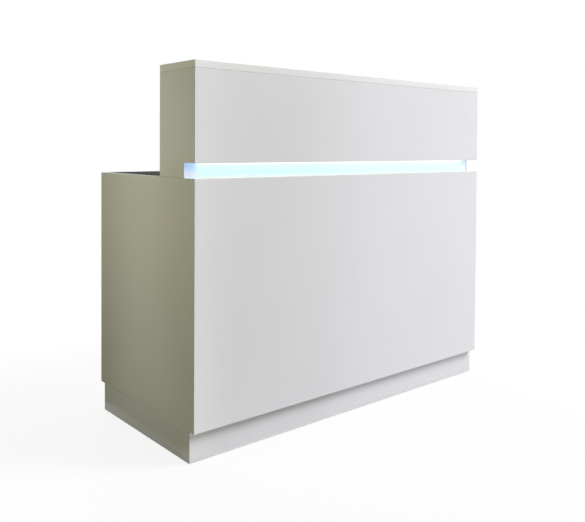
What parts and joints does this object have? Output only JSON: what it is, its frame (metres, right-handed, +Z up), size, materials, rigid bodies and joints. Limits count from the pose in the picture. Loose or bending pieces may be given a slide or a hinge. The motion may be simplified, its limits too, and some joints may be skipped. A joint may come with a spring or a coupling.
{
  "type": "reception desk",
  "caption": "Straight white reception desk with a raised counter over a lit slot, a recessed plinth, and a staff side with a worktop, pigeon-holes and a drawer pedestal.",
  "frame": {"origin": "on the floor, under the middle of the desk's box", "axes": "+X to the right along the front as the visitor sees it, +Y to the staff side, +Z up; the front faces -Y"},
  "size_m": [1.2, 0.55, 1.05],
  "materials": {
    "white_lacquer": "white high-gloss lacquer on board",
    "white_melamine": "white satin melamine on board",
    "dark_laminate": "charcoal matt laminate on board",
    "opal_acrylic": "opal, lit from behind, cool white",
    "aluminium": "satin anodised",
    "zinc_steel": "bright zinc plated",
    "white_steel": "light grey-white powder coat",
    "nickel": "polished nickel plate",
    "black_plastic": "satin black",
    "grey_plastic": "satin grey",
    "black_rubber": "matt black",
    "white_cable": "white cable sheath",
    "led_tape": "white tape with yellow phosphor chips",
    "softwood": "planed, unfinished"
  },
  "bodies": {
    "carcass": {"front_panel": "white_lacquer", "left_side_panel": "white_lacquer", "right_side_panel": "white_lacquer", "base_deck": "white_melamine", "counter_base": "white_lacquer", "worktop": "dark_laminate", "pedestal_partition": "white_melamine", "plinth_front": "white_lacquer", "plinth_left_end": "white_lacquer", "plinth_right_end": "white_lacquer", "plinth_rear": "white_lacquer", "plinth_brace": "white_melamine", "left_batten": "softwood", "right_batten": "softwood", "grommet_ring": "grey_plastic", "hutch_front": "white_lacquer", "hutch_left_end": "white_lacquer", "hutch_right_end": "white_lacquer", "hutch_top": "white_lacquer", "hutch_shelf": "white_lacquer", "hutch_divider": "white_lacquer", "light_box_back": "white_lacquer", "slot_diffuser": "opal_acrylic", "led_angle": "aluminium", "led_tape": "led_tape", "led_driver": "grey_plastic", "led_lead": "white_cable", "switch_housing": "black_plastic", "cable_gland": "black_rubber", "file_drawer_left_rail": "zinc_steel", "file_drawer_right_rail": "zinc_steel", "middle_drawer_left_rail": "zinc_steel", "middle_drawer_right_rail": "zinc_steel", "top_drawer_left_rail": "zinc_steel", "top_drawer_right_rail": "zinc_steel", "lock_strike": "zinc_steel"},
    "file_drawer": {"file_drawer_front": "white_lacquer", "file_drawer_tray": "white_steel", "file_drawer_handle": "aluminium", "file_drawer_left_slide": "zinc_steel", "file_drawer_right_slide": "zinc_steel"},
    "middle_drawer": {"middle_drawer_front": "white_lacquer", "middle_drawer_tray": "white_steel", "middle_drawer_handle": "aluminium", "middle_drawer_left_slide": "zinc_steel", "middle_drawer_right_slide": "zinc_steel"},
    "top_drawer": {"top_drawer_front": "white_lacquer", "top_drawer_tray": "white_steel", "top_drawer_handle": "aluminium", "top_drawer_left_slide": "zinc_steel", "top_drawer_right_slide": "zinc_steel", "lock_housing": "nickel"},
    "lock": {"lock_plug": "nickel"},
    "rocker": {"switch_rocker": "black_plastic"},
    "cap": {"grommet_cap": "grey_plastic"},
    "front_left_leveller": {"front_left_foot": "zinc_steel"},
    "rear_left_leveller": {"rear_left_foot": "zinc_steel"},
    "front_right_leveller": {"front_right_foot": "zinc_steel"},
    "rear_right_leveller": {"rear_right_foot": "zinc_steel"}
  },
  "joints": [
    {"name": "file_drawer_slide", "type": "slide", "parent": "carcass", "child": "file_drawer", "axis": [0, 1, 0], "range_m": [0, 0.3]},
    {"name": "middle_drawer_slide", "type": "slide", "parent": "carcass", "child": "middle_drawer", "axis": [0, 1, 0], "range_m": [0, 0.3]},
    {"name": "top_drawer_slide", "type": "slide", "parent": "carcass", "child": "top_drawer", "axis": [0, 1, 0], "range_m": [0, 0.3]},
    {"name": "lock_turn", "type": "hinge", "parent": "top_drawer", "child": "lock", "pos_m": [-0.262, 0.245, 0.692], "axis": [0, -1, 0], "range_deg": [0, 90]},
    {"name": "rocker_tilt", "type": "hinge", "parent": "carcass", "child": "rocker", "pos_m": [0.06, -0.095, 0.765], "axis": [0, 0, -1], "range_deg": [0, 16]},
    {"name": "cap_turn", "type": "hinge", "parent": "carcass", "child": "cap", "pos_m": [0.25, -0.025, 0.745], "axis": [0, 0, 1], "continuous": true},
    {"name": "front_left_level", "type": "slide", "parent": "carcass", "child": "front_left_leveller", "axis": [0, 0, -1], "range_m": [0, 0.012]},
    {"name": "rear_left_level", "type": "slide", "parent": "carcass", "child": "rear_left_leveller", "axis": [0, 0, -1], "range_m": [0, 0.012]},
    {"name": "front_right_level", "type": "slide", "parent": "carcass", "child": "front_right_leveller", "axis": [0, 0, -1], "range_m": [0, 0.012]},
    {"name": "rear_right_level", "type": "slide", "parent": "carcass", "child": "rear_right_leveller", "axis": [0, 0, -1], "range_m": [0, 0.012]}
  ]
}
